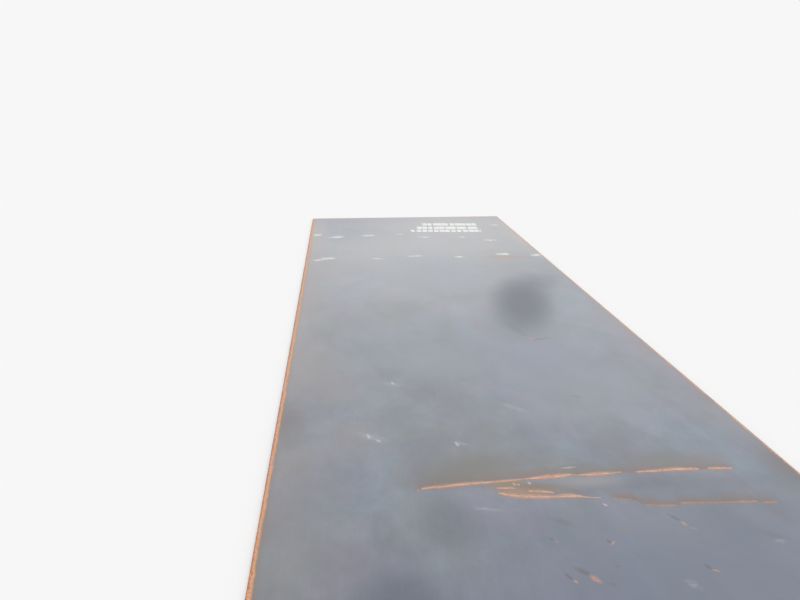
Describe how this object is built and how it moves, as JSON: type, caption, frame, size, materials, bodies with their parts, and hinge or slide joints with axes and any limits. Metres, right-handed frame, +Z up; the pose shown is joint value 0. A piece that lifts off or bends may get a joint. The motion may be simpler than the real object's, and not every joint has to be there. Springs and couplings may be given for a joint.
{
  "type": "steel plate",
  "caption": "Flat rectangular hot-rolled steel plate with rounded rusty mill edges along its length and sheared ends.",
  "frame": {"origin": "middle of the plate's underside, which lies on the floor", "axes": "+X across the width, +Y along the length, which is the rolling direction, +Z up through the thickness"},
  "size_m": [1.829, 6.096, 0.012],
  "materials": {
    "mill_scale_steel": "satin"
  },
  "bodies": {
    "root": {"steel_plate": "mill_scale_steel"}
  },
  "joints": []
}
